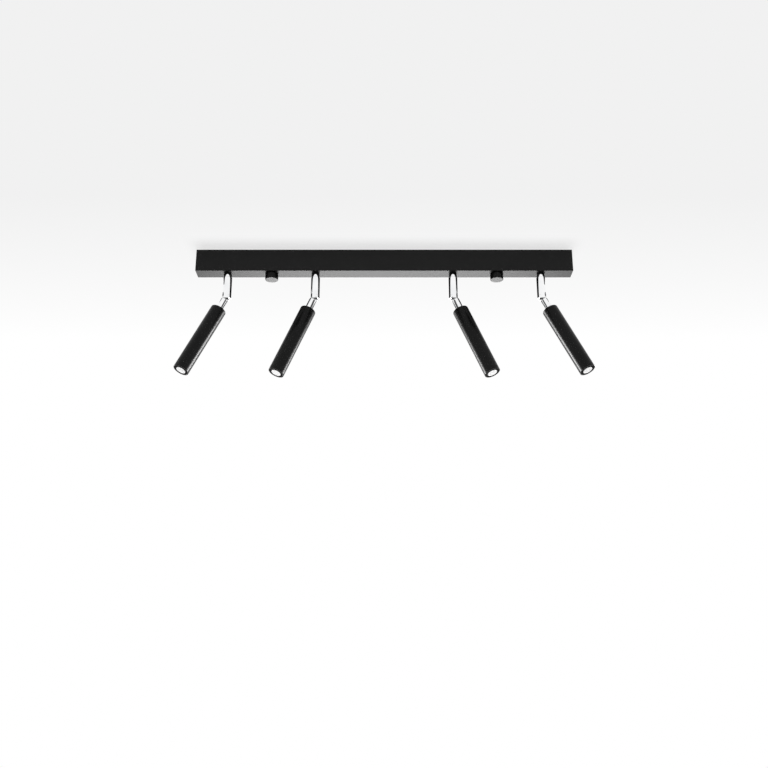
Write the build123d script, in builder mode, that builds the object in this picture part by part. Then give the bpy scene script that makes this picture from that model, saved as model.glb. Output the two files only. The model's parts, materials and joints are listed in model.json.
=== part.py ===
from build123d import *
from math import cos, radians, sin
import os

# A ceiling bar with four spot lamps. Each lamp swivels on its stem and tilts on a slotted knuckle.
# +Z is up and X runs along the bar. The origin is the centre of the face against the ceiling, the
# front of the bar faces -Y, and lamps 1 to 4 stand in that order from -X to +X. Sizes are in mm.

# --- Canopy: a folded sheet steel box, open towards the ceiling
canopy_length = 650.0
canopy_width = 28.6
canopy_height = 39.6
canopy_sheet = 1.2
canopy_fold_radius = 0.8

# --- Where the lamps stand, and how they are set
end_margin = 54.5  # from the end of the canopy to the outer stem
inner_stem_x = 118.7  # from the middle of the canopy to the inner stem
inner_turn = 26.2  # degrees from straight outwards towards the front
outer_turn = 28.8  # degrees, the same way
inner_tilt = 23.8  # degrees from straight down
outer_tilt = 26.0  # degrees, the same way

# --- Stem: chromed bar with a hollow threaded nipple above and a slotted knuckle below
shaft_radius = 7.5
neck_radius = 6.8
neck_height = 7.3
neck_bevel = 0.4
pivot_drop = 42.8  # from the underside of the canopy to the tilt axis
ear_extra = 0.1  # the round ends of the ears are this much larger than the shaft
ear_reach = 5.0  # from the tilt axis to the flat that ends the ears
nipple_radius = 4.95
nipple_flat_depth = 0.9
stem_bore_radius = 3.0
nipple_spare = 1.5  # thread left above the nut

# --- Arm: the lower half of the knuckle
arm_radius = 6.9
arm_length = 29.8  # from the tilt axis to the top of the lamp tube
arm_shoulder = 8.0  # from the tilt axis to the shoulder under the tongue
arm_bore_radius = 2.5
tongue_thickness = 6.0
tongue_neck_radius = 6.1  # the bar is turned down to this above its shoulder
tongue_extra = 0.15  # the round end of the tongue is this much larger than its neck
spigot_radius = 4.0
wire_slot_width = 3.0
wire_slot_length = 7.0

# --- Tilt screw
screw_radius = 1.75
screw_head_radius = 2.7
screw_head_height = 1.7
screw_socket_flats = 2.0
screw_socket_depth = 1.1
ear_seat = 2.2  # metal left in the ear under the screw head
screw_inset = 0.24  # the screw's end stops this far inside the ear

# --- Swivel hardware inside the canopy
washer_thickness = 1.0
stop_washer_thickness = 1.2
washer_radius = 8.2
stop_tab_reach = 12.0
stop_tab_width = 6.6
stop_pin_radius = 1.5
stop_pin_circle = 10.2
swivel_nut_flats = 14.0
swivel_nut_height = 4.0

# --- Lamp tube and what it holds
tube_radius = 13.5
tube_length = 132.8
tube_wall = 1.5
tube_cap = 4.0
tube_top_round = 2.0
tube_mouth_bevel = 0.4
bezel_depth = 6.0
bezel_lip = 1.4
bezel_bevel = 0.5
bezel_wall = 1.5
aperture_radius = 8.0
lens_flange = 2.4
lens_dome = 0.5
lens_recess = 0.4
reflector_depth = 12.0
reflector_throat = 5.0
reflector_wall = 0.8
board_radius = 10.0
board_thickness = 1.6
chip_radius = 4.2
chip_height = 0.7
sink_length = 34.0
sink_groove_count = 3
sink_groove_width = 4.0
sink_groove_depth = 3.0

# --- Ceiling bracket: a shallow steel channel screwed to the ceiling
bracket_width = 24.0
bracket_sheet = 1.5
bracket_flange = 8.0
bracket_fold_radius = 1.6
bracket_overhang = 20.0  # beyond the studs at each end
screw_slot_spacing = 300.0
screw_slot_length = 14.0
screw_slot_width = 5.2

# --- Studs, nuts and thumb nuts that hold the canopy up
stud_radius = 2.0
stud_nut_flats = 7.0
stud_nut_height = 3.2
stud_bevel = 0.4
knob_radius = 11.15
knob_height = 11.0
knob_bevel = 1.0
knob_top_bevel = 0.3
knob_bore_depth = 8.5
stud_reach = 7.5  # how far the stud stands below the canopy

# --- Cable entry
bush_bore_radius = 5.0
bush_neck_radius = 7.9
bush_flange_radius = 10.0
bush_flange_height = 2.0

# --- Electrical parts on the canopy floor
pad_thickness = 1.0
driver_length = 90.0
driver_width = 20.0
driver_height = 17.0
driver_round = 1.5
driver_lid = 2.0
driver_groove = 0.5
driver_outlet_radius = 2.5
driver_outlet_depth = 3.0
driver_x = -46.0
terminal_pitch = 7.5
terminal_poles = 3
terminal_length = 16.0
terminal_height = 13.0
terminal_x = 48.0
terminal_screw_spacing = 8.0
terminal_screw_radius = 1.8
terminal_screw_height = 4.0
terminal_screw_sink = 1.5
terminal_entry_radius = 1.7
terminal_entry_height = 4.5
terminal_shoulder = 2.5
earth_x = 82.0
earth_stud_height = 11.0
earth_flange_radius = 3.0
earth_flange_height = 0.8

# --- Clearances
turning_gap = 0.1  # flat faces that turn against each other
fixed_gap = 0.05  # radial, between pieces of one body and in running fits
hole_gap = 0.3  # radial, round a neck that turns in a sheet hole
slot_gap = 0.25  # round the tongue in its slot
ear_slot_gap = 0.1  # each side of the tongue

# --- Levels and places worked out from the sizes above
outer_stem_x = canopy_length / 2 - end_margin
underside = -canopy_height
floor_top = underside + canopy_sheet
washer_top = canopy_sheet + washer_thickness
stop_washer_base = washer_top + turning_gap
swivel_nut_base = stop_washer_base + stop_washer_thickness
nipple_top = swivel_nut_base + swivel_nut_height + nipple_spare
sheet_hole_radius = nipple_radius + hole_gap
tongue_radius = tongue_neck_radius + tongue_extra
ear_radius = shaft_radius + ear_extra
slot_radius = tongue_radius + slot_gap
slot_width = tongue_thickness + 2 * ear_slot_gap
knob_x = (inner_stem_x + outer_stem_x) / 2
tube_bore = tube_radius - tube_wall
tube_top = arm_length
tube_mouth = tube_top + tube_length
lens_radius = tube_bore - fixed_gap - bezel_wall - fixed_gap
lens_face = tube_mouth - bezel_lip
lens_back = lens_face - lens_flange
board_front = lens_back - reflector_depth
board_back = board_front - board_thickness
sink_back = board_back - sink_length
ear_bore = screw_radius + fixed_gap
head_seat = slot_width / 2 + ear_seat


def save(piece, name):
    """Label one finished piece and write it."""
    piece.part.label = name
    export_step(piece.part, f"parts/{name}.step")


def band(inner, outer, low, high, mode=Mode.ADD):
    """A rectangle of a turned profile, between two radii and two heights."""
    with Locations((inner, low)):
        Rectangle(outer - inner, high - low, align=(Align.MIN, Align.MIN), mode=mode)


def side_of(frame):
    """The plane through a frame's own X and Z axes, to draw profiles on."""
    return Plane(origin=frame.origin, x_dir=frame.x_dir, z_dir=-frame.y_dir)


def turned_axis(frame):
    """The axis that a frame's turned pieces share."""
    return Axis(frame.origin, frame.z_dir)


# ---------------------------------------------------------------- canopy and what hangs it


def make_canopy():
    """Folded box with holes for the stems, their stop pins, and the studs."""
    stems = [(x, 0, floor_top) for x in (-outer_stem_x, -inner_stem_x, inner_stem_x, outer_stem_x)]
    with BuildPart() as canopy:
        Box(canopy_length, canopy_width, canopy_height, align=(Align.CENTER, Align.CENTER, Align.MAX))
        fillet(canopy.edges().filter_by(Axis.Z), canopy_fold_radius)
        fillet(canopy.faces().sort_by(Axis.Z)[0].edges(), canopy_fold_radius)
        Box(
            canopy_length - 2 * canopy_sheet,
            canopy_width - 2 * canopy_sheet,
            canopy_height - canopy_sheet,
            align=(Align.CENTER, Align.CENTER, Align.MAX),
            mode=Mode.SUBTRACT,
        )
        with Locations(stems):
            Hole(sheet_hole_radius, depth=2 * canopy_sheet)
        with Locations((-knob_x, 0, floor_top), (knob_x, 0, floor_top)):
            Hole(stud_radius + hole_gap, depth=2 * canopy_sheet)
    save(canopy, "canopy")


def make_bracket():
    """Channel with its web against the ceiling, slots for the screws and a cable hole."""
    length = 2 * (knob_x + bracket_overhang)
    with BuildPart() as bracket:
        with BuildSketch(Plane.YZ) as channel:
            Rectangle(bracket_width, bracket_flange, align=(Align.CENTER, Align.MAX))
            fillet(channel.vertices().group_by(Axis.Y)[-1], bracket_fold_radius)
            with Locations((0, -bracket_sheet)):
                Rectangle(
                    bracket_width - 2 * bracket_sheet,
                    bracket_flange,
                    align=(Align.CENTER, Align.MAX),
                    mode=Mode.SUBTRACT,
                )
        extrude(amount=length / 2, both=True)
        with BuildSketch(Plane.XY):
            with Locations((-screw_slot_spacing / 2, 0), (screw_slot_spacing / 2, 0)):
                SlotOverall(screw_slot_length, screw_slot_width)
            with Locations((-knob_x, 0), (knob_x, 0)):
                Circle(stud_radius + fixed_gap)
            Circle(bush_neck_radius + fixed_gap)
        extrude(amount=-2 * bracket_sheet, mode=Mode.SUBTRACT)
    save(bracket, "ceiling_bracket")


def make_studs():
    """Two threaded studs, with the nuts that lock them under the bracket."""
    places = [(-knob_x, 0), (knob_x, 0)]
    length = canopy_height + stud_reach
    with BuildPart() as studs:
        with Locations([(x, y, 0) for x, y in places]):
            Cylinder(stud_radius, length, align=(Align.CENTER, Align.CENTER, Align.MAX))
        chamfer(studs.faces().group_by(Axis.Z)[0].edges(), stud_bevel)
    save(studs, "bracket_studs")

    with BuildPart() as nuts:
        with BuildSketch(Plane.XY.offset(-bracket_sheet)):
            with Locations(places):
                RegularPolygon(stud_nut_flats / 2, 6, major_radius=False)
                Circle(stud_radius + fixed_gap, mode=Mode.SUBTRACT)
        extrude(amount=-stud_nut_height)
    save(nuts, "stud_lock_nuts")


def make_knob(x, name):
    """Thumb nut under the canopy, on the end of a stud."""
    top = underside - turning_gap
    with BuildPart() as knob:
        with Locations((x, 0, top)):
            Cylinder(knob_radius, knob_height, align=(Align.CENTER, Align.CENTER, Align.MAX))
        chamfer(knob.faces().sort_by(Axis.Z)[0].edges(), knob_bevel)
        chamfer(knob.faces().sort_by(Axis.Z)[-1].edges(), knob_top_bevel)
        with Locations((x, 0, top)):
            Hole(stud_radius + fixed_gap, depth=knob_bore_depth)
    save(knob, name)


def make_cable_bush():
    """Rubber bush pushed up into the cable hole of the bracket."""
    with BuildPart() as bush:
        with BuildSketch(Plane.XZ):
            band(bush_bore_radius, bush_neck_radius, -bracket_sheet, 0)
            band(bush_bore_radius, bush_flange_radius, -bracket_sheet - bush_flange_height, -bracket_sheet)
        revolve(axis=Axis.Z)
    save(bush, "cable_bush")


# ---------------------------------------------------------------- electrical parts


def make_driver():
    """Plastic driver case with a lid groove and a lead outlet at each end."""
    base = floor_top + pad_thickness
    middle = base + driver_height / 2
    with BuildPart() as driver:
        with BuildSketch(Plane.XY.offset(base)):
            with Locations((driver_x, 0)):
                RectangleRounded(driver_length, driver_width, driver_round)
        extrude(amount=driver_height)
        with BuildSketch(Plane.XY.offset(base + driver_height - driver_lid)):
            with Locations((driver_x, 0)):
                Rectangle(driver_length + driver_width, 2 * driver_width)
                RectangleRounded(
                    driver_length - 2 * driver_groove,
                    driver_width - 2 * driver_groove,
                    driver_round - driver_groove,
                    mode=Mode.SUBTRACT,
                )
        extrude(amount=-driver_groove, mode=Mode.SUBTRACT)
        for end in (-1, 1):
            outer_face = Plane(
                origin=(driver_x + end * driver_length / 2, 0, middle),
                x_dir=(0, 1, 0),
                z_dir=(end, 0, 0),
            )
            with BuildSketch(outer_face):
                Circle(driver_outlet_radius)
            extrude(amount=-driver_outlet_depth, mode=Mode.SUBTRACT)
    save(driver, "led_driver")


def terminal_rows():
    """Y of each pole of the terminal block."""
    return [(n - (terminal_poles - 1) / 2) * terminal_pitch for n in range(terminal_poles)]


def make_terminal_block():
    """Stepped terminal block with a screw well at each end of a pole, and its screws."""
    base = floor_top + pad_thickness
    top = base + terminal_height
    wells = [
        (terminal_x + end * terminal_screw_spacing / 2, y) for y in terminal_rows() for end in (-1, 1)
    ]
    with BuildPart() as block:
        with BuildSketch(Plane.XY.offset(base)):
            with Locations((terminal_x, 0)):
                Rectangle(terminal_length + 2 * terminal_shoulder, terminal_pitch * terminal_poles)
        extrude(amount=terminal_height - terminal_shoulder)
        with BuildSketch(Plane.XY.offset(base)):
            with Locations((terminal_x, 0)):
                Rectangle(terminal_length, terminal_pitch * terminal_poles)
        extrude(amount=terminal_height)
        with BuildSketch(Plane.XY.offset(top)):
            with Locations(wells):
                Circle(terminal_screw_radius + fixed_gap)
        extrude(amount=-terminal_screw_height - terminal_screw_sink, mode=Mode.SUBTRACT)
        with BuildSketch(Plane.YZ.offset(terminal_x - terminal_length)):
            with Locations([(y, base + terminal_entry_height) for y in terminal_rows()]):
                Circle(terminal_entry_radius)
        extrude(amount=2 * terminal_length, mode=Mode.SUBTRACT)
    save(block, "terminal_block")

    with BuildPart() as screws:
        with BuildSketch(Plane.XY.offset(top - terminal_screw_sink)):
            with Locations(wells):
                Circle(terminal_screw_radius)
        extrude(amount=-terminal_screw_height)
    save(screws, "terminal_screws")


def make_pads():
    """Adhesive pads that hold the driver and the terminal block on the canopy floor."""
    with BuildPart() as pads:
        with BuildSketch(Plane.XY.offset(floor_top)):
            with Locations((driver_x, 0)):
                Rectangle(driver_length - 2 * driver_round, driver_width - 2 * driver_round)
            with Locations((terminal_x, 0)):
                Rectangle(terminal_length, terminal_pitch * terminal_poles - 2 * driver_round)
        extrude(amount=pad_thickness)
    save(pads, "adhesive_pads")


def make_earth_terminal():
    """Welded earth stud on the canopy floor, and its nut."""
    nut_base = floor_top + earth_flange_height
    with BuildPart() as stud:
        with Locations((earth_x, 0, floor_top)):
            Cylinder(stud_radius, earth_stud_height, align=(Align.CENTER, Align.CENTER, Align.MIN))
            Cylinder(
                earth_flange_radius, earth_flange_height, align=(Align.CENTER, Align.CENTER, Align.MIN)
            )
        chamfer(stud.faces().sort_by(Axis.Z)[-1].edges(), stud_bevel)
    save(stud, "earth_stud")

    with BuildPart() as nut:
        with BuildSketch(Plane.XY.offset(nut_base)):
            with Locations((earth_x, 0)):
                RegularPolygon(stud_nut_flats / 2, 6, major_radius=False)
                Circle(stud_radius + fixed_gap, mode=Mode.SUBTRACT)
        extrude(amount=stud_nut_height)
    save(nut, "earth_nut")


# ---------------------------------------------------------------- swivel hardware on the canopy


def make_swivel_seats(stem_xs):
    """Nylon washers under the stop washers, and the pins that end the swivel travel."""
    with BuildPart() as washers:
        with BuildSketch(Plane.XY.offset(floor_top)):
            with Locations([(x, 0) for x in stem_xs]):
                Circle(washer_radius)
                Circle(sheet_hole_radius, mode=Mode.SUBTRACT)
        extrude(amount=washer_thickness)
    save(washers, "friction_washers")

    # each pin stands on the side of its stem that faces the middle of the bar
    inward = [(x - stop_pin_circle if x > 0 else x + stop_pin_circle, 0) for x in stem_xs]
    with BuildPart() as pins:
        with BuildSketch(Plane.XY.offset(floor_top)):
            with Locations(inward):
                Circle(stop_pin_radius)
        extrude(amount=swivel_nut_base - canopy_sheet + stop_washer_thickness)
    save(pins, "stop_pins")


# ---------------------------------------------------------------- one stem, from nipple to knuckle


def make_stem(frame, screw_plane, name):
    """Turned bar with a keyed nipple, and a knuckle slotted on the side that the lamp tilts to."""
    side = side_of(frame)
    with BuildPart() as stem:
        with BuildSketch(side) as profile:
            band(0, neck_radius, -neck_height, -turning_gap)
            band(0, shaft_radius, -pivot_drop - 2 * shaft_radius, -neck_height)
            chamfer(profile.vertices().group_by(Axis.X)[-1].sort_by(Axis.Y)[-1], neck_bevel)
            band(0, nipple_radius, -neck_height, nipple_top)
            band(0, stem_bore_radius, -pivot_drop, nipple_top, mode=Mode.SUBTRACT)
        revolve(axis=turned_axis(frame))
        with BuildSketch(frame):
            with Locations((nipple_flat_depth - nipple_radius, 0)):
                Rectangle(nipple_radius, 2 * nipple_radius, align=(Align.MAX, Align.CENTER))
        extrude(amount=nipple_top, mode=Mode.SUBTRACT)
        with BuildSketch(side):
            with Locations((0, -pivot_drop)):
                Rectangle(4 * shaft_radius, 3 * shaft_radius, align=(Align.CENTER, Align.MAX))
                Circle(ear_radius, mode=Mode.SUBTRACT)
            with Locations((0, -pivot_drop - ear_reach)):
                Rectangle(4 * shaft_radius, 2 * shaft_radius, align=(Align.CENTER, Align.MAX))
        extrude(amount=2 * shaft_radius, both=True, mode=Mode.SUBTRACT)
        with BuildSketch(side):
            with Locations((0, -pivot_drop)):
                Circle(slot_radius)
                Rectangle(2 * slot_radius, 3 * shaft_radius, align=(Align.CENTER, Align.MAX))
            with Locations((0, slot_radius - pivot_drop)):
                Rectangle(2 * shaft_radius, 4 * shaft_radius, align=(Align.MIN, Align.MAX))
        extrude(amount=slot_width / 2, both=True, mode=Mode.SUBTRACT)
        with BuildSketch(screw_plane):
            Circle(ear_bore)
        extrude(amount=2 * shaft_radius, both=True, mode=Mode.SUBTRACT)
        with BuildSketch(screw_plane.offset(head_seat)):
            Circle(screw_head_radius + fixed_gap)
        extrude(amount=shaft_radius, mode=Mode.SUBTRACT)
    save(stem, name)


def make_stop_washer(frame, name):
    """Washer keyed to the flat of the nipple, with a tab that meets the stop pin."""
    with BuildPart() as washer:
        with BuildSketch(frame.offset(stop_washer_base)):
            Circle(washer_radius)
            Rectangle(stop_tab_reach, stop_tab_width, align=(Align.MIN, Align.CENTER))
            Circle(nipple_radius + fixed_gap, mode=Mode.SUBTRACT)
            with Locations((nipple_flat_depth - fixed_gap - nipple_radius, 0)):
                Rectangle(nipple_flat_depth, nipple_radius, align=(Align.MAX, Align.CENTER))
        extrude(amount=stop_washer_thickness)
    save(washer, name)


def make_swivel_nut(frame, name):
    """Hexagon nut that holds the stem and its washers together."""
    with BuildPart() as nut:
        with BuildSketch(frame.offset(swivel_nut_base)):
            RegularPolygon(swivel_nut_flats / 2, 6, major_radius=False)
            Circle(nipple_radius + fixed_gap, mode=Mode.SUBTRACT)
        extrude(amount=swivel_nut_height)
    save(nut, name)


def make_tilt_screw(screw_plane, name):
    """Socket screw through both ears and the tongue."""
    far_end = screw_inset - shaft_radius
    with BuildPart() as screw:
        with BuildSketch(screw_plane.offset(far_end)):
            Circle(screw_radius)
        extrude(amount=head_seat - far_end)
        with BuildSketch(screw_plane.offset(head_seat)):
            Circle(screw_head_radius)
        extrude(amount=screw_head_height)
        with BuildSketch(screw_plane.offset(head_seat + screw_head_height)):
            RegularPolygon(screw_socket_flats / 2, 6, major_radius=False)
        extrude(amount=-screw_socket_depth, mode=Mode.SUBTRACT)
    save(screw, name)


# ---------------------------------------------------------------- one lamp head, below the tilt axis


def make_arm(frame, name):
    """Bar with a round-ended tongue, a wire slot past the screw, and a hollow spigot."""
    side = side_of(frame)
    spigot_end = -arm_length - tube_cap
    with BuildPart() as arm:
        with BuildSketch(side):
            band(0, arm_radius, -arm_length, -arm_shoulder)
            band(0, tongue_neck_radius, -arm_shoulder, 2 * arm_radius)
            band(0, spigot_radius, spigot_end, -arm_length)
            band(0, arm_bore_radius, spigot_end, -arm_shoulder, mode=Mode.SUBTRACT)
        revolve(axis=turned_axis(frame))
        with BuildSketch(side):
            Rectangle(4 * arm_radius, 3 * arm_radius, align=(Align.CENTER, Align.MIN))
            Circle(tongue_radius, mode=Mode.SUBTRACT)
        extrude(amount=2 * arm_radius, both=True, mode=Mode.SUBTRACT)
        for cheek in (-1, 1):
            with BuildSketch(side.offset(cheek * tongue_thickness / 2)):
                with Locations((0, -arm_shoulder)):
                    Rectangle(4 * arm_radius, 4 * arm_radius, align=(Align.CENTER, Align.MIN))
            extrude(amount=cheek * 2 * arm_radius, mode=Mode.SUBTRACT)
        with BuildSketch(side):
            with Locations((0, -arm_shoulder - arm_bore_radius)):
                Rectangle(wire_slot_length, 4 * arm_radius, align=(Align.CENTER, Align.MIN))
        extrude(amount=wire_slot_width / 2, both=True, mode=Mode.SUBTRACT)
        with BuildSketch(side):
            Circle(ear_bore)
        extrude(amount=2 * arm_radius, both=True, mode=Mode.SUBTRACT)
    save(arm, name)


def make_tube(frame, name):
    """Turned aluminium tube with a closed, rounded top that the spigot screws into."""
    with BuildPart() as tube:
        with BuildSketch(side_of(frame)) as profile:
            band(0, tube_radius, -tube_mouth, -tube_top)
            outer = profile.vertices().group_by(Axis.X)[-1].sort_by(Axis.Y)
            fillet(outer[-1], tube_top_round)
            chamfer(outer[0], tube_mouth_bevel)
            band(0, tube_bore, -tube_mouth, -tube_top - tube_cap, mode=Mode.SUBTRACT)
            band(0, spigot_radius + fixed_gap, -tube_top - tube_cap, -tube_top, mode=Mode.SUBTRACT)
        revolve(axis=turned_axis(frame))
    save(tube, name)


def make_heat_sink(frame, name):
    """Grooved aluminium slug behind the light source, with a wire hole."""
    pitch = sink_length / sink_groove_count
    radius = tube_bore - fixed_gap
    with BuildPart() as sink:
        with BuildSketch(side_of(frame)):
            band(arm_bore_radius, radius, -board_back, -sink_back)
            for n in range(sink_groove_count):
                middle = -sink_back - (n + 0.5) * pitch
                low = middle - sink_groove_width / 2
                band(radius - sink_groove_depth, radius, low, low + sink_groove_width, mode=Mode.SUBTRACT)
        revolve(axis=turned_axis(frame))
    save(sink, name)


def make_led_board(frame, name):
    """Round board with the light source raised in its middle."""
    with BuildPart() as board:
        with BuildSketch(side_of(frame)):
            band(0, board_radius, -board_front, -board_back)
            band(0, chip_radius, -board_front - chip_height, -board_front)
        revolve(axis=turned_axis(frame))
    save(board, name)


def make_reflector(frame, name):
    """Conical reflector between the board and the lens."""
    rim = lens_radius - reflector_wall
    with BuildPart() as reflector:
        with BuildSketch(side_of(frame)):
            with BuildLine():
                Polyline(
                    (reflector_throat, -board_front),
                    (reflector_throat + reflector_wall, -board_front),
                    (rim + reflector_wall, -lens_back),
                    (rim, -lens_back),
                    close=True,
                )
            make_face()
        revolve(axis=turned_axis(frame))
    save(reflector, name)


def make_lens(frame, name):
    """Stepped lens whose domed middle fills the aperture of the bezel."""
    radius = aperture_radius - 2 * fixed_gap
    crown = lens_recess - tube_mouth
    with BuildPart() as lens:
        with BuildSketch(side_of(frame)):
            band(0, lens_radius, -lens_face, -lens_back)
            with BuildLine():
                TangentArc((0, crown), (radius, crown + lens_dome), tangent=(1, 0))
                Polyline((radius, crown + lens_dome), (radius, -lens_face), (0, -lens_face), (0, crown))
            make_face()
        revolve(axis=turned_axis(frame))
    save(lens, name)


def make_bezel(frame, name):
    """Black ring in the mouth of the tube, with a lip that keeps the lens."""
    radius = tube_bore - fixed_gap
    with BuildPart() as bezel:
        with BuildSketch(side_of(frame)) as profile:
            band(aperture_radius, radius, -tube_mouth, bezel_depth - tube_mouth)
            chamfer(profile.vertices().group_by(Axis.X)[0].sort_by(Axis.Y)[0], bezel_bevel)
            band(0, radius - bezel_wall, -lens_face, -tube_top, mode=Mode.SUBTRACT)
        revolve(axis=turned_axis(frame))
    save(bezel, name)


# ---------------------------------------------------------------- the whole fixture


def stem_frame(x, turn):
    """Frame of a stem: origin on the underside of the canopy, X the way that its lamp tilts."""
    outwards = 1 if x > 0 else -1
    facing = (outwards * cos(radians(turn)), -sin(radians(turn)), 0)
    return Plane(origin=(x, 0, underside), x_dir=facing, z_dir=(0, 0, 1))


def head_frame(stem, tilt):
    """Frame of a lamp head: origin on the tilt axis, -Z along the lamp."""
    pivot = stem.origin - stem.z_dir * pivot_drop
    along = stem.z_dir * cos(radians(tilt)) - stem.x_dir * sin(radians(tilt))
    across = stem.x_dir * cos(radians(tilt)) + stem.z_dir * sin(radians(tilt))
    return Plane(origin=pivot, x_dir=across, z_dir=along)


def make_lamp(n, x, turn, tilt):
    """All pieces of one lamp, from its swivel nut to its bezel."""
    stem = stem_frame(x, turn)
    head = head_frame(stem, tilt)
    rear = 1 if stem.y_dir.Y > 0 else -1
    screw_plane = Plane(origin=head.origin, x_dir=stem.x_dir, z_dir=stem.y_dir * rear)
    make_stem(stem, screw_plane, f"stem_{n}")
    make_stop_washer(stem, f"stop_washer_{n}")
    make_swivel_nut(stem, f"swivel_nut_{n}")
    make_tilt_screw(screw_plane, f"tilt_screw_{n}")
    make_arm(head, f"arm_{n}")
    make_tube(head, f"lamp_tube_{n}")
    make_heat_sink(head, f"heat_sink_{n}")
    make_led_board(head, f"led_board_{n}")
    make_reflector(head, f"reflector_{n}")
    make_lens(head, f"lens_{n}")
    make_bezel(head, f"bezel_{n}")


os.makedirs("parts", exist_ok=True)
lamps = [
    (-outer_stem_x, outer_turn, outer_tilt),
    (-inner_stem_x, inner_turn, inner_tilt),
    (inner_stem_x, inner_turn, inner_tilt),
    (outer_stem_x, outer_turn, outer_tilt),
]
make_canopy()
make_bracket()
make_studs()
make_knob(-knob_x, "thumb_nut_left")
make_knob(knob_x, "thumb_nut_right")
make_cable_bush()
make_driver()
make_terminal_block()
make_pads()
make_earth_terminal()
make_swivel_seats([x for x, turn, tilt in lamps])
for n, (x, turn, tilt) in enumerate(lamps, start=1):
    make_lamp(n, x, turn, tilt)
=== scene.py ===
import json
from math import cos, hypot, pi, radians, sin, tau

import bmesh
import bpy
from mathutils import Matrix, Vector


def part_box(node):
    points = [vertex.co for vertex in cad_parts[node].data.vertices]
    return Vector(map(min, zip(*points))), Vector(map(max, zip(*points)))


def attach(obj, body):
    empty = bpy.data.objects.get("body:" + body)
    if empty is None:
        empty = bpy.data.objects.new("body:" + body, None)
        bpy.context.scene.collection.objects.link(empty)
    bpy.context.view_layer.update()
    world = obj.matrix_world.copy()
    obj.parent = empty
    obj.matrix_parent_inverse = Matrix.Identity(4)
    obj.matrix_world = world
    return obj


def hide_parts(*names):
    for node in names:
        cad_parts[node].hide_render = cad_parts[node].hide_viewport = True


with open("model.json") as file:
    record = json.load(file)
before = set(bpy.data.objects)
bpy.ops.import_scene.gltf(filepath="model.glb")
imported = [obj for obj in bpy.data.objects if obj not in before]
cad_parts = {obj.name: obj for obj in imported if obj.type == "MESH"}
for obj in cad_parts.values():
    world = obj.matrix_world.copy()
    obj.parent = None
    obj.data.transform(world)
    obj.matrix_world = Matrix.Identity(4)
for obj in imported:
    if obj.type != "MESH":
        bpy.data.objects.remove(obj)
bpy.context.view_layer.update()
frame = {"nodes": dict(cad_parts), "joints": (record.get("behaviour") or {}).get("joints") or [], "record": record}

# Ceiling bar with four tube spots. Sizes are in metres, and places come from the frame.
scene = bpy.context.scene
mm = 0.001
up = Vector((0, 0, 1))
lampNumbers = (1, 2, 3, 4)
joints = {joint["name"]: joint for joint in frame["joints"]}


def toLinear(hexColour):
    channels = [int(hexColour[n:n + 2], 16) / 255 for n in (1, 3, 5)]
    return [c / 12.92 if c <= 0.04045 else ((c + 0.055) / 1.055) ** 2.4 for c in channels] + [1.0]


def addNode(tree, kind, settings=None, links=None):
    node = tree.nodes.new(kind)
    for key, value in (settings or {}).items():
        if isinstance(key, int) or key in node.inputs:
            node.inputs[key].default_value = value
        else:
            setattr(node, key, value)
    for key, source in (links or {}).items():
        tree.links.new(source, node.inputs[key])
    return node


# Materials

noiseSpan = (0.3, 0.7)  # nearly all of a noise's values lie between these


def newMaterial(name):
    material = bpy.data.materials.new(name)
    material.use_nodes = True
    tree = material.node_tree
    tree.nodes.clear()
    return material, tree


def finishMaterial(tree, shader):
    addNode(tree, "ShaderNodeOutputMaterial", links={"Surface": shader})


def mottled(tree, size, low, high):
    # noise of one grain size, in metres: as it is, and spread from low to high
    place = addNode(tree, "ShaderNodeTexCoord").outputs["Object"]
    noise = addNode(tree, "ShaderNodeTexNoise", {"Scale": 1 / size}, {"Vector": place}).outputs["Fac"]
    spread = addNode(tree, "ShaderNodeMapRange", {"From Min": noiseSpan[0], "From Max": noiseSpan[1],
                                                  "To Min": low, "To Max": high}, {"Value": noise})
    return noise, spread.outputs["Result"]


def twoTone(tree, look, factor):
    mix = addNode(tree, "ShaderNodeMix", {"data_type": "RGBA", 6: toLinear(look["dark"]),
                                          7: toLinear(look["light"])}, {0: factor})
    return mix.outputs[2]


def finished(name, look):
    # every hard finish: two close tones in soft clouds, and a grain that sets roughness and bump
    material, tree = newMaterial(name)
    grain, roughness = mottled(tree, look["grainSize"], *look["roughness"])
    tone = mottled(tree, look["cloudSize"], 0.0, 1.0)[1]
    bump = addNode(tree, "ShaderNodeBump", {"Strength": look["bump"], "Distance": look["bumpDepth"]},
                   {"Height": grain})
    sockets = {"Metallic": look.get("metallic", 0.0), "Specular IOR Level": look.get("specular", 0.5)}
    shader = addNode(tree, "ShaderNodeBsdfPrincipled", sockets,
                     {"Base Color": twoTone(tree, look, tone), "Roughness": roughness,
                      "Normal": bump.outputs[0]})
    finishMaterial(tree, shader.outputs[0])
    return material


# Polyester powder, sprayed and baked: satin black that dulls every reflection and has a fine orange peel.
# Real peel is about 0.3 mm across, and is drawn at 0.6 mm so that it shows.
canopyCoat = finished("satin_black_powder_coat", {
    "dark": "#0A0A0A", "light": "#0E0E0E", "roughness": (0.42, 0.5), "specular": 0.2,
    "grainSize": 0.6 * mm, "cloudSize": 60 * mm, "bump": 0.15, "bumpDepth": 0.03 * mm})
# Turned and blackened nut: the same black, a little smoother, so that its flat end shines softly.
nutBlack = finished("blackened_turned_nut", {
    "dark": "#0A0A0A", "light": "#0E0E0E", "roughness": (0.34, 0.4), "specular": 0.14,
    "grainSize": 0.5 * mm, "cloudSize": 12 * mm, "bump": 0.1, "bumpDepth": 0.02 * mm})
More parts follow.
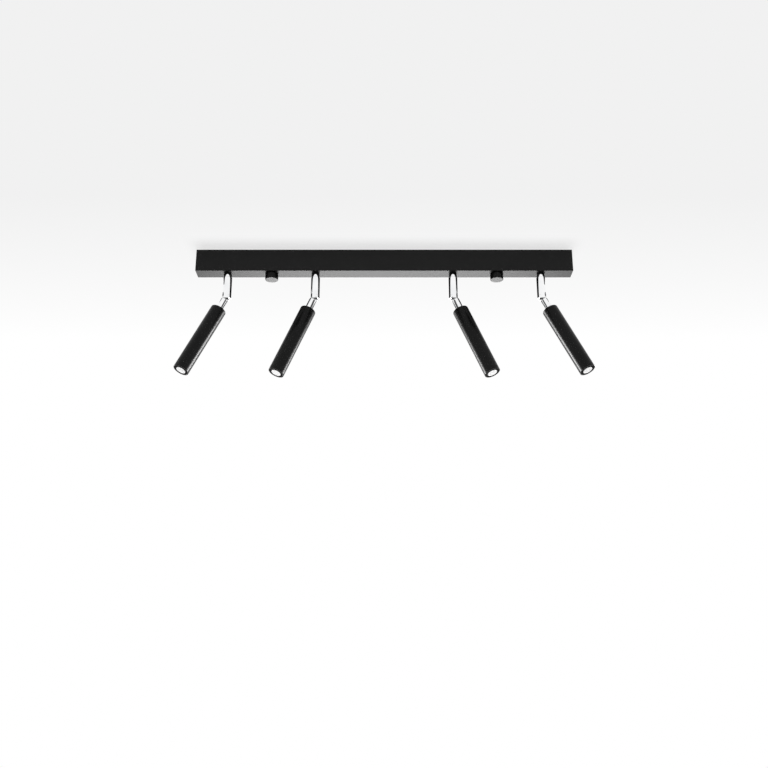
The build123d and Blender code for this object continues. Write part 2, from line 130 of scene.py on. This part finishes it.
# The same powder on turned aluminium: the smoother metal under it keeps a tighter gleam along the tube.
tubeCoat = finished("black_powder_coat_on_turned_tube", {
    "dark": "#070707", "light": "#0C0C0C", "roughness": (0.31, 0.37), "specular": 0.15,
    "grainSize": 0.8 * mm, "cloudSize": 40 * mm, "bump": 0.06, "bumpDepth": 0.02 * mm})
# Glass-filled nylon from the mould: a deep matt black ring that takes no gleam.
blackNylon = finished("moulded_black_nylon", {
    "dark": "#060606", "light": "#0A0A0A", "roughness": (0.7, 0.8), "specular": 0.08,
    "grainSize": 0.5 * mm, "cloudSize": 20 * mm, "bump": 0.15, "bumpDepth": 0.03 * mm})
# Bright nickel and chrome over polished brass: a mirror, only faintly smeared by handling.
chrome = finished("polished_chrome_plate", {
    "dark": "#F0F1F2", "light": "#FAFAFA", "roughness": (0.03, 0.07), "metallic": 1.0,
    "grainSize": 3 * mm, "cloudSize": 20 * mm, "bump": 0.02, "bumpDepth": 0.02 * mm})
# Zinc plate on rolled steel: pale grey with a cloudy, slightly dull sheen.
zinc = finished("zinc_plated_steel", {
    "dark": "#A9ADB2", "light": "#C4C7C9", "roughness": (0.3, 0.42), "metallic": 1.0,
    "grainSize": 1 * mm, "cloudSize": 8 * mm, "bump": 0.1, "bumpDepth": 0.03 * mm})
# Brass bar, drawn and cut: warm, with a soft sheen.
brass = finished("drawn_brass", {
    "dark": "#C2A25A", "light": "#D2B56E", "roughness": (0.25, 0.35), "metallic": 1.0,
    "grainSize": 1 * mm, "cloudSize": 5 * mm, "bump": 0.08, "bumpDepth": 0.02 * mm})
# Moulded rubber: dull, with a dusty bloom.
rubber = finished("moulded_black_rubber", {
    "dark": "#111111", "light": "#1A1A1A", "roughness": (0.6, 0.75),
    "grainSize": 0.8 * mm, "cloudSize": 6 * mm, "bump": 0.2, "bumpDepth": 0.05 * mm})
# Moulded ABS: white with a fine spark-eroded grain.
whiteAbs = finished("moulded_white_abs", {
    "dark": "#E4E3DE", "light": "#ECEBE7", "roughness": (0.45, 0.55),
    "grainSize": 0.8 * mm, "cloudSize": 15 * mm, "bump": 0.15, "bumpDepth": 0.03 * mm})
# Polyethylene foam tape: grey, with open cells along its cut edge.
foam = finished("closed_cell_foam_tape", {
    "dark": "#3A3A3A", "light": "#484848", "roughness": (0.8, 0.9),
    "grainSize": 0.5 * mm, "cloudSize": 5 * mm, "bump": 0.4, "bumpDepth": 0.1 * mm})
# Turned aluminium: bright, with the fine roughness that the tool leaves.
aluminium = finished("turned_aluminium", {
    "dark": "#CBCDD0", "light": "#D9DBDD", "roughness": (0.25, 0.35), "metallic": 1.0,
    "grainSize": 0.5 * mm, "cloudSize": 10 * mm, "bump": 0.1, "bumpDepth": 0.03 * mm})


def opalLens(name, look):
    # painted light: a pale middle, with a painted greyer ring round it, stands in for the light source behind, and
    # the whole lens has a painted glow
    material, tree = newMaterial(name)
    grain, roughness = mottled(tree, look["grainSize"], *look["roughness"])
    bump = addNode(tree, "ShaderNodeBump", {"Strength": look["bump"], "Distance": look["bumpDepth"]},
                   {"Height": grain})
    radius = addNode(tree, "ShaderNodeAttribute", {"attribute_name": "fromAxis"}).outputs["Fac"]
    offRing = addNode(tree, "ShaderNodeMath", {"operation": "SUBTRACT", 1: look["ringRadius"]},
                      {0: radius})
    offRing = addNode(tree, "ShaderNodeMath", {"operation": "ABSOLUTE"}, {0: offRing.outputs[0]})
    # painted shade: the tone is darker at the ring's radius from the axis, and pale in the middle
    paintedRingShade = addNode(tree, "ShaderNodeMapRange",
                       {"interpolation_type": "SMOOTHSTEP", "From Min": 0.0, "From Max": look["ringWidth"]},
                       {"Value": offRing.outputs[0]})
    tone = twoTone(tree, look, paintedRingShade.outputs[0])
    # painted glow: the lens gives out its own tone, though no lamp is inside
    shader = addNode(tree, "ShaderNodeBsdfPrincipled",
                     {"IOR": look["ior"], "Emission Strength": look["paintedGlow"]},
                     {"Base Color": tone, "Emission Color": tone, "Roughness": roughness,
                      "Normal": bump.outputs[0]})
    finishMaterial(tree, shader.outputs[0])
    return material


# Opal polycarbonate, moulded: milky, with a painted glow as if lit a little from within.
opal = opalLens("opal_polycarbonate", {
    "dark": "#DADADA", "light": "#F8F8F8", "roughness": (0.3, 0.4), "ior": 1.585, "paintedGlow": 0.33,
    "ringRadius": 3.6 * mm, "ringWidth": 1.8 * mm,
    "grainSize": 0.5 * mm, "bump": 0.2, "bumpDepth": 0.05 * mm})

slotFinish = {
    "black_painted_steel": canopyCoat, "zinc_plated_steel": zinc, "brass": brass, "black_rubber": rubber,
    "white_plastic": whiteAbs, "pad_foam": foam, "black_thumb_nut": nutBlack, "chrome": chrome,
    "black_tube": tubeCoat, "black_bezel": blackNylon, "bare_aluminium": aluminium, "led_board": whiteAbs,
    "frosted_lens": opal,
}
for subpart in frame["record"]["subparts"]:
    node = frame["nodes"][subpart["node"]]
    for slot in node.material_slots:
        slot.material = slotFinish[subpart["material_slot"]]
print("materials on", len(frame["nodes"]), "nodes")


# Making turned and carved pieces

sharpAngle = 35  # degrees, from which an edge between two faces is drawn sharp


def lampMatrices(n):
    # the stem's own frame and the head's, both at the tilt axis, with X the way that the lamp tilts
    pivot, axis = Vector(joints[f"tilt_{n}"]["pos_m"]), Vector(joints[f"tilt_{n}"]["axis"])
    facing = Vector((-axis.y, axis.x, 0))
    tilt = radians(-joints[f"tilt_{n}"]["range_deg"][0])
    along = up * cos(tilt) - facing * sin(tilt)
    across = facing * cos(tilt) + up * sin(tilt)
    return [Matrix.Translation(pivot) @ Matrix((x, z.cross(x), z)).transposed().to_4x4()
            for x, z in ((facing, up), (across, along))]


def span(node, matrix):  # lowest and highest place of a node along the matrix's Z, and its radius round it
    places = [matrix.inverted() @ vertex.co for vertex in frame["nodes"][node].data.vertices]
    heights = [place.z for place in places]
    return min(heights), max(heights), max(hypot(place.x, place.y) for place in places)


def softened(corners, edge, steps):
    # a corner is (radius, height), with its own rounding as a third number where that isn't the common edge
    places = []
    for i, (radius, height, *own) in enumerate(corners):
        here = Vector((radius, height))
        reach = own[0] if own else edge
        if radius == 0 or reach == 0:
            places.append(here)
            continue
        before, after = Vector(corners[i - 1][:2]), Vector(corners[(i + 1) % len(corners)][:2])
        start = here.lerp(before, reach / (here - before).length)
        end = here.lerp(after, reach / (here - after).length)
        for step in range(steps + 1):
            t = step / steps
            places.append(start.lerp(here, t).lerp(here.lerp(end, t), t))
    return places


def turned(corners, edge=0.1 * mm, sides=96, steps=3):
    mesh = bmesh.new()
    fromAxis = mesh.verts.layers.float.new("fromAxis")
    rings = []
    for place in softened(corners, edge, steps):
        count = 1 if place.x == 0 else sides
        angles = [tau * s / sides for s in range(count)]
        rings.append([mesh.verts.new((place.x * cos(angle), place.x * sin(angle), place.y))
                      for angle in angles])
        for vertex in rings[-1]:
            vertex[fromAxis] = place.x
    if len(rings[0]) > 1:
        rings.append(rings[0])
    for low, high in zip(rings, rings[1:]):
        if len(low) + len(high) > 2:
            for s in range(sides):
                corners = [low[s % len(low)], low[(s + 1) % len(low)],
                           high[(s + 1) % len(high)], high[s % len(high)]]
                mesh.faces.new(list(dict.fromkeys(corners)))
    bmesh.ops.recalc_face_normals(mesh, faces=mesh.faces)
    return mesh


def prism(outline, low, high):  # an outline in X and Z, drawn out along Y
    mesh = bmesh.new()
    ends = [[mesh.verts.new((x, y, z)) for x, z in outline] for y in (low, high)]
    mesh.faces.new(ends[0])
    mesh.faces.new(ends[1])
    for i in range(len(outline)):
        mesh.faces.new([ends[0][i - 1], ends[0][i], ends[1][i], ends[1][i - 1]])
    bmesh.ops.recalc_face_normals(mesh, faces=mesh.faces)
    return mesh


def arc(radius, start, end, steps=24):  # degrees from X towards Z
    angles = [radians(start + (end - start) * step / steps) for step in range(steps + 1)]
    return [(radius * cos(angle), radius * sin(angle)) for angle in angles]


def circle(radius, sides=24):
    return arc(radius, 0, 360 - 360 / sides, sides - 1)


def loose(name, mesh):
    data = bpy.data.meshes.new(name)
    mesh.to_mesh(data)
    mesh.free()
    item = bpy.data.objects.new(name, data)
    scene.collection.objects.link(item)
    return item


def carved(blank, cutters):
    body = loose("blank", blank)
    tools = [loose("cutter", cutter) for cutter in cutters]
    for tool in tools:
        cut = body.modifiers.new("cut", "BOOLEAN")
        cut.operation = "DIFFERENCE"
        cut.solver = "EXACT"
        cut.object = tool
    bpy.context.view_layer.update()
    result = bpy.data.meshes.new_from_object(body.evaluated_get(bpy.context.evaluated_depsgraph_get()))
    mesh = bmesh.new()
    mesh.from_mesh(result)
    bpy.data.meshes.remove(result)
    for item in [body] + tools:
        bpy.data.objects.remove(item)
    return mesh


def addPiece(name, mesh, matrix, slot, body, *nodes):
    mesh.transform(matrix)
    piece = loose(name, mesh)
    piece.data.shade_smooth()
    piece.data.set_sharp_from_angle(angle=radians(sharpAngle))
    normals = piece.modifiers.new("even_normals", "WEIGHTED_NORMAL")  # flat faces stay flat beside rounds
    normals.keep_sharp = True
    piece.data.materials.append(slotFinish[slot])
    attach(piece, body)
    if nodes:
        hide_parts(*nodes)


# Lamp heads: a tube, a ring in its mouth and a lens that stands out of the ring

tubeLook = {
    "wall": 1.5 * mm, "cap": 4.0 * mm, "topRound": 2.0 * mm, "mouthBevel": 0.25 * mm, "spigotHole": 4.05 * mm,
    "sides": 128, "roundSteps": 6,
}
bezelLook = {"wall": 1.5 * mm, "lip": 1.4 * mm, "bevel": 0.15 * mm, "opening": 8.0 * mm}
lensLook = {"proud": 0.8 * mm, "dome": 0.3 * mm, "domeRings": 12, "edgeRound": 0.2 * mm, "gap": 0.1 * mm}


def makeTube(n, head):
    look = tubeLook
    low, high, radius = span(f"lamp_tube_{n}", head)
    bore, hole, roof = radius - look["wall"], look["spigotHole"], high - look["cap"]
    corners = [(hole, high), (radius, high, look["topRound"]), (radius, low, look["mouthBevel"]),
               (bore, low), (bore, roof), (hole, roof)]
    mesh = turned(corners, sides=look["sides"], steps=look["roundSteps"])
    addPiece(f"turned_tube_{n}", mesh, head, "black_tube", f"head_{n}", f"lamp_tube_{n}")


def makeBezel(n, head):
    look = bezelLook
    low, high, radius = span(f"bezel_{n}", head)
    seat, aperture, step, bevel = radius - look["wall"], look["opening"], low + look["lip"], look["bevel"]
    corners = [(radius, low), (radius, high), (seat, high), (seat, step), (aperture, step),
               (aperture, low + bevel), (aperture + bevel, low)]
    addPiece(f"mouth_ring_{n}", turned(corners), head, "black_bezel", f"head_{n}", f"bezel_{n}")


def makeLens(n, head):
    look = lensLook
    high, radius = span(f"lens_{n}", head)[1:]
    mouth = span(f"bezel_{n}", head)[0]
    low, step, crown = mouth - look["proud"], mouth + bezelLook["lip"], bezelLook["opening"] - look["gap"]
    shares = [ring / look["domeRings"] for ring in range(look["domeRings"])]
    dome = [(crown * share, low + look["dome"] * share ** 2, 0) for share in shares]
    corners = dome + [(crown, low + look["dome"], look["edgeRound"]), (crown, step, 0), (radius, step),
                      (radius, high), (0, high)]
    addPiece(f"opal_lens_{n}", turned(corners), head, "frosted_lens", f"head_{n}", f"lens_{n}")


# Stems and arms, the two halves of each tilt knuckle

stemLook = {
    "neck": 6.8 * mm, "neckHeight": 7.3 * mm, "neckBevel": 0.4 * mm, "gap": 0.1 * mm,
    "shaft": 7.5 * mm, "ears": 7.6 * mm, "earReach": 4.6 * mm, "slot": 6.5 * mm, "slotWidth": 6.2 * mm,
    "screwHole": 1.8 * mm, "headSeat": 5.3 * mm, "headHole": 2.75 * mm,
    "bore": 3.0 * mm, "nipple": 4.95 * mm, "flat": 0.9 * mm,
    "threadPitch": 1.0 * mm, "threadDepth": 0.55 * mm, "threadRows": 6, "sides": 128, "nippleSides": 48,
}
armLook = {
    "bar": 6.9 * mm, "shoulder": 8.5 * mm, "shoulderRound": 0.3 * mm, "spigotGap": 0.05 * mm,
    "tongueNeck": 6.1 * mm, "tongue": 6.25 * mm, "tongueThickness": 6.0 * mm,
    "bore": 2.5 * mm, "wireSlot": (7.0 * mm, 3.0 * mm), "sides": 128,
}


def makeStem(n, stem):
    look = stemLook
    underside = joints[f"swivel_{n}"]["pos_m"][2] - stem.translation.z
    neckLow, neckTop, far = underside - look["neckHeight"], underside - look["gap"], 3 * look["shaft"]
    blank = turned([(0, -far), (look["shaft"], -far), (look["shaft"], neckLow, look["neckBevel"]),
                    (look["neck"], neckLow), (look["neck"], neckTop), (0, neckTop)], sides=look["sides"])
    roundEnd = [(-far, 0)] + arc(look["ears"], 180, 360) + [(far, 0), (far, -2 * far), (-far, -2 * far)]
    slot = [(-look["slot"], -2 * far)] + arc(look["slot"], 180, 90) + [(far, look["slot"]), (far, -2 * far)]
    rear = 1 if stem.col[1].y > 0 else -1
    below = [(-far, -look["earReach"]), (far, -look["earReach"]), (far, -2 * far), (-far, -2 * far)]
    cutters = [
        prism(roundEnd, -far, far),
        prism(below, -far, far),
        prism(slot, -look["slotWidth"] / 2, look["slotWidth"] / 2),
        prism(circle(look["screwHole"]), -far, far),
        prism(circle(look["headHole"]), *sorted((rear * look["headSeat"], rear * far))),
        turned([(0, 0), (look["bore"], 0), (look["bore"], 2 * far), (0, 2 * far)], edge=0,
               sides=look["nippleSides"]),
    ]
    addPiece(f"forked_stem_{n}", carved(blank, cutters), stem, "chrome", f"stem_{n}", f"stem_{n}")
    makeNipple(n, stem, neckLow, neckTop)


def makeNipple(n, stem, neckLow, foot):
    # above the stem's neck: a fine thread with one flat, hollow for the wires
    look = stemLook
    top = span(f"stem_{n}", stem)[1]
    sides, pitch, bore = look["nippleSides"], look["threadPitch"], look["bore"]
    rows = int((top - neckLow) / pitch * look["threadRows"])
    turns = [(cos(tau * s / sides), sin(tau * s / sides)) for s in range(sides)]
    mesh = bmesh.new()
    rings = []
    for row in range(rows + 1):
        z = foot + (top - foot) * row / rows
        ring = []
        for s, (x, y) in enumerate(turns):
            groove = abs((z / pitch - s / sides) % 1 * 2 - 1) * look["threadDepth"]
            radius = look["nipple"] - groove
            ring.append(mesh.verts.new((max(radius * x, look["flat"] - look["nipple"]), radius * y, z)))
        rings.append(ring)
    rings += [[mesh.verts.new((bore * x, bore * y, z)) for x, y in turns] for z in (top, foot)]
    for lower, upper in zip(rings, rings[1:] + rings[:1]):
        for s in range(sides):
            mesh.faces.new([lower[s - 1], lower[s], upper[s], upper[s - 1]])
    bmesh.ops.recalc_face_normals(mesh, faces=mesh.faces)
    addPiece(f"threaded_nipple_{n}", mesh, stem, "chrome", f"stem_{n}")


def makeArm(n, head):
    look = armLook
    low = span(f"arm_{n}", head)[0]
    tubeTop = span(f"lamp_tube_{n}", head)[1]
    far, shoulder = 2 * look["bar"], -look["shoulder"]
    spigot = tubeLook["spigotHole"] - look["spigotGap"]
    blank = turned([(0, low), (spigot, low), (spigot, tubeTop), (look["bar"], tubeTop, 0),
                    (look["bar"], shoulder, look["shoulderRound"]), (look["tongueNeck"], shoulder),
                    (look["tongueNeck"], far), (0, far)], sides=look["sides"])
    roundEnd = [(far, 0)] + arc(look["tongue"], 0, 180) + [(-far, 0), (-far, 2 * far), (far, 2 * far)]
    block = [(-far, shoulder), (far, shoulder), (far, 2 * far), (-far, 2 * far)]
    width, thickness = look["wireSlot"]
    slotFoot = shoulder - look["bore"]
    wireSlot = [(-width / 2, slotFoot), (width / 2, slotFoot), (width / 2, far), (-width / 2, far)]
    cheek = look["tongueThickness"] / 2
    cutters = [
        prism(roundEnd, -far, far),
        prism(block, cheek, far),
        prism(block, -far, -cheek),
        prism(wireSlot, -thickness / 2, thickness / 2),
        prism(circle(stemLook["screwHole"]), -far, far),
    ]
    addPiece(f"tongued_arm_{n}", carved(blank, cutters), head, "chrome", f"head_{n}", f"arm_{n}")


for n in lampNumbers:
    stem, head = lampMatrices(n)
    makeTube(n, head)
    makeBezel(n, head)
    makeLens(n, head)
    makeStem(n, stem)
    makeArm(n, head)
print("lamps", *lampNumbers)

# Thumb nuts

nutLook = {"bore": 2.05 * mm, "boreDepth": 8.5 * mm, "bevel": 1.0 * mm, "topBevel": 0.3 * mm, "roundSteps": 5}


def makeNut(side):
    look = nutLook
    name = f"thumb_nut_{side}"
    place = Matrix.Translation(joints[f"{name}_turn"]["pos_m"])
    low, high, radius = span(name, place)
    depth = high - look["boreDepth"]
    corners = [(0, low), (radius, low, look["bevel"]), (radius, high, look["topBevel"]), (look["bore"], high),
               (look["bore"], depth), (0, depth)]
    mesh = turned(corners, steps=look["roundSteps"])
    addPiece(f"turned_nut_{side}", mesh, place, "black_thumb_nut", name, name)


for side in ("left", "right"):
    makeNut(side)
print("thumb nuts")

# Stage

stageLook = {
    "half": 6.0, "floorDrop": 2.4, "floorColour": "#F2F2F2", "worldStrength": 0.85, "secondSight": 0.05,
}
# dark and light: a painted shade on the ceiling, pale grey in front of the bar and white behind it
ceilingLook = {
    "colour": "#EDEDED", "dark": "#F1F1F1", "light": "#FFFFFF", "paintedShadeNearToFar": (-0.2, 0.4),
    "shadowShare": 0.26, "shadowX": (0.305, 0.345), "shadowY": (0.024, 0.068),
    "clearance": 0.1 * mm, "inset": 0.7 * mm,
}
oneGloss = 1.5  # a ray's glossy depth is 1 after the first gloss that it meets, and 2 after the next
white = (1, 1, 1, 1)


def firstSight(tree):
    # the camera sees it, or sees it once in a gloss: what one gloss shows another stays dim
    rays = addNode(tree, "ShaderNodeLightPath").outputs
    once = addNode(tree, "ShaderNodeMath", {"operation": "LESS_THAN", 1: oneGloss}, {0: rays["Glossy Depth"]})
    once = addNode(tree, "ShaderNodeMath", {"operation": "MULTIPLY"},
                   {0: once.outputs[0], 1: rays["Is Glossy Ray"]})
    direct = addNode(tree, "ShaderNodeMath", {"operation": "MAXIMUM"},
                     {0: rays["Is Camera Ray"], 1: rays["Is Transmission Ray"]})
    seen = addNode(tree, "ShaderNodeMath", {"operation": "MAXIMUM"},
                   {0: direct.outputs[0], 1: once.outputs[0]})
    return seen.outputs[0], rays["Is Glossy Ray"]


def stagePlane(name, quads):
    mesh = bmesh.new()
    for quad in quads:
        mesh.faces.new([mesh.verts.new(corner) for corner in quad])
    plane = loose(name, mesh)
    return plane


# The ceiling is open over the canopy, so that its inside is lit.
canopyLow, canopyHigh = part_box("canopy")
half, inset = stageLook["half"], ceilingLook["inset"]
level = canopyHigh.z + ceilingLook["clearance"]
xs = (-half, canopyLow.x + inset, canopyHigh.x - inset, half)
ys = (-half, canopyLow.y + inset, canopyHigh.y - inset, half)
quads = []
for i, j in ((0, 0), (0, 1), (0, 2), (1, 0), (1, 2), (2, 0), (2, 1), (2, 2)):
    quads.append([(xs[i], ys[j], level), (xs[i], ys[j + 1], level),
                  (xs[i + 1], ys[j + 1], level), (xs[i + 1], ys[j], level)])
ceiling = stagePlane("ceiling", quads)
drop = -stageLook["floorDrop"]
corners = [(-half, -half, drop), (half, -half, drop), (half, half, drop), (-half, half, drop)]
floor = stagePlane("floor", [corners])

# Matt white paint: it takes a soft shadow beside the bar, and shows white in the chrome; to the camera it shows a
# painted shade, pale grey in front of the bar and white behind it.
# From above it is clear, so that views from above see the top of the bar.
ceilingPaint, tree = newMaterial("matt_ceiling_paint")
place = addNode(tree, "ShaderNodeTexCoord").outputs["Object"]
place = addNode(tree, "ShaderNodeSeparateXYZ", links={0: place}).outputs
near, far = ceilingLook["paintedShadeNearToFar"]
# painted shade: the tone that the camera sees goes from pale grey in front of the bar to white behind it
back = addNode(tree, "ShaderNodeMapRange", {"From Min": near, "From Max": far}, {"Value": place["Y"]})
tone = twoTone(tree, ceilingLook, back.outputs[0])
fades = []
for axis in ("X", "Y"):  # the shadow fades out between two distances from the middle of the bar
    near, far = ceilingLook[f"shadow{axis}"]
    reach = addNode(tree, "ShaderNodeMath", {"operation": "ABSOLUTE"}, {0: place[axis]})
    fade = addNode(tree, "ShaderNodeMapRange",
                   {"interpolation_type": "SMOOTHSTEP", "From Min": near, "From Max": far,
                    "To Min": 1.0, "To Max": 0.0}, {"Value": reach.outputs[0]})
    fades.append(fade.outputs[0])
share = addNode(tree, "ShaderNodeMath", {"operation": "MULTIPLY", 1: ceilingLook["shadowShare"]},
                {0: fades[0]})
fade = addNode(tree, "ShaderNodeMath", {"operation": "MULTIPLY"}, {0: fades[1], 1: share.outputs[0]})
matt = addNode(tree, "ShaderNodeBsdfDiffuse", {"Color": toLinear(ceilingLook["colour"])})
seen, glossy = firstSight(tree)
inGloss = addNode(tree, "ShaderNodeMix", {"data_type": "RGBA", 7: white}, {0: glossy, 6: tone})
bright = addNode(tree, "ShaderNodeEmission", {"Strength": 1.0}, {"Color": inGloss.outputs[2]})
shown = addNode(tree, "ShaderNodeMixShader",
                links={0: fade.outputs[0], 1: bright.outputs[0], 2: matt.outputs[0]})
paint = addNode(tree, "ShaderNodeMixShader", links={0: seen, 1: matt.outputs[0], 2: shown.outputs[0]})
clear = addNode(tree, "ShaderNodeBsdfTransparent")
behind = addNode(tree, "ShaderNodeNewGeometry").outputs["Backfacing"]
paint = addNode(tree, "ShaderNodeMixShader", links={0: behind, 1: paint.outputs[0], 2: clear.outputs[0]})
finishMaterial(tree, paint.outputs[0])
ceiling.data.materials.append(ceilingPaint)

# The same paint on the floor: it lights the bar from below, and stays dim in the gloss of a gloss.
floorPaint, tree = newMaterial("matt_floor_paint")
matt = addNode(tree, "ShaderNodeBsdfDiffuse", {"Color": toLinear(stageLook["floorColour"])})
bright = addNode(tree, "ShaderNodeEmission", {"Color": white, "Strength": 1.0})
dim = addNode(tree, "ShaderNodeEmission", {"Color": white, "Strength": stageLook["secondSight"]})
seen, glossy = firstSight(tree)
matt = addNode(tree, "ShaderNodeMixShader", links={0: glossy, 1: matt.outputs[0], 2: dim.outputs[0]})
paint = addNode(tree, "ShaderNodeMixShader", links={0: seen, 1: matt.outputs[0], 2: bright.outputs[0]})
finishMaterial(tree, paint.outputs[0])
floor.data.materials.append(floorPaint)

world = bpy.data.worlds.new("studio")
scene.world = world
world.use_nodes = True
tree = world.node_tree
tree.nodes.clear()
light = addNode(tree, "ShaderNodeBackground", {"Color": white, "Strength": stageLook["worldStrength"]})
bright = addNode(tree, "ShaderNodeBackground", {"Color": white, "Strength": 1.0})
dim = addNode(tree, "ShaderNodeBackground", {"Color": white, "Strength": stageLook["secondSight"]})
seen, glossy = firstSight(tree)
light = addNode(tree, "ShaderNodeMixShader", links={0: glossy, 1: light.outputs[0], 2: dim.outputs[0]})
shown = addNode(tree, "ShaderNodeMixShader", links={0: seen, 1: light.outputs[0], 2: bright.outputs[0]})
addNode(tree, "ShaderNodeOutputWorld", links={"Surface": shown.outputs[0]})
print("ceiling, floor and world")

# Lamps: a broad panel behind the bar, and strips behind its ends that only draw a gleam along the tubes

panelLook = {"place": (0, 1.6, -0.85), "target": (0, 0, -0.05), "size": (1.2, 0.6), "radiance": 12.0}
stripLook = {
    "place": (1.3, 0.75, -0.25), "target": (0, 0, -0.2), "size": (0.55, 0.2),
    "outer": {"lamps": (1, 4), "radiance": 112.0}, "inner": {"lamps": (2, 3), "radiance": 62.0},
}


def areaLamp(name, place, target, size, radiance):
    data = bpy.data.lights.new(name, "AREA")
    data.shape = "RECTANGLE"
    data.size, data.size_y = size
    data.energy = radiance * pi * size[0] * size[1]
    lamp = bpy.data.objects.new(name, data)
    lamp.location = place
    lamp.rotation_euler = (Vector(target) - Vector(place)).to_track_quat("-Z", "Y").to_euler()
    lamp.visible_camera = False
    scene.collection.objects.link(lamp)
    return lamp


areaLamp("back_panel", **panelLook)
x, y, z = stripLook["place"]
for name in ("outer", "inner"):  # a pair of strips for each pair of tubes, and linked to no other piece
    tubes = bpy.data.collections.new(f"{name}_tubes")
    for n in stripLook[name]["lamps"]:
        tubes.objects.link(bpy.data.objects[f"turned_tube_{n}"])
    for side in (-1, 1):
        strip = areaLamp(f"{name}_strip_{side}", (side * x, y, z), stripLook["target"], stripLook["size"],
                         stripLook[name]["radiance"])
        strip.visible_diffuse = False
        strip.light_linking.receiver_collection = tubes

# Painted reflections: dark and grey sheets near the chrome and under the ceiling, each given by its least and
# greatest corner: only reflections see them, and they darken what the chrome and the canopy show in their gloss.
paintedReflectionLook = {
    "grey": {"colour": "#5A5A5A", "corners": [((-0.246, -0.04, -0.13), (-0.145, -0.04, -0.069)),
                                              ((-0.106, -0.04, -0.13), (0.106, -0.04, -0.069)),
                                              ((0.145, -0.04, -0.13), (0.246, -0.04, -0.069))]},
    "end": {"colour": "#5A5A5A", "corners": [((-0.6, -0.2, -0.15), (-0.6, 0.5, 0)),
                                             ((0.6, -0.2, -0.15), (0.6, 0.5, 0))]},
    "back": {"colour": "#050505", "corners": [((-0.27, 0.016, -0.001), (0.27, 0.2, -0.001))]},
}
for name, look in paintedReflectionLook.items():
    quads = []
    for low, high in look["corners"]:
        flat = [a == b for a, b in zip(low, high)].index(True)
        first, second = [axis for axis in range(3) if axis != flat]
        quad = [list(low) for corner in range(4)]
        quad[1][first] = quad[2][first] = high[first]
        quad[2][second] = quad[3][second] = high[second]
        quads.append(quad)
    card = stagePlane(f"{name}_card", quads)
    card.visible_camera = card.visible_diffuse = card.visible_shadow = card.visible_transmission = False
    painted_reflection, tree = newMaterial(f"{name}_card_paper")
    # painted reflection: each sheet glows in its own grey, so that the chrome shows it as a dark patch
    finishMaterial(tree, addNode(tree, "ShaderNodeEmission", {"Color": toLinear(look["colour"])}).outputs[0])
    card.data.materials.append(painted_reflection)
print("lamps and cards")

# Camera

cameraLook = {"place": (-0.00043, -1.5449, -0.7679), "pitch": 18.84, "lens": 45.94}
cameraData = bpy.data.cameras.new("camera")
cameraData.lens = cameraLook["lens"]
camera = bpy.data.objects.new("camera", cameraData)
camera.location = cameraLook["place"]
camera.rotation_euler = (radians(90 + cameraLook["pitch"]), 0, 0)
scene.collection.objects.link(camera)
scene.camera = camera
scene.view_settings.view_transform = "Standard"
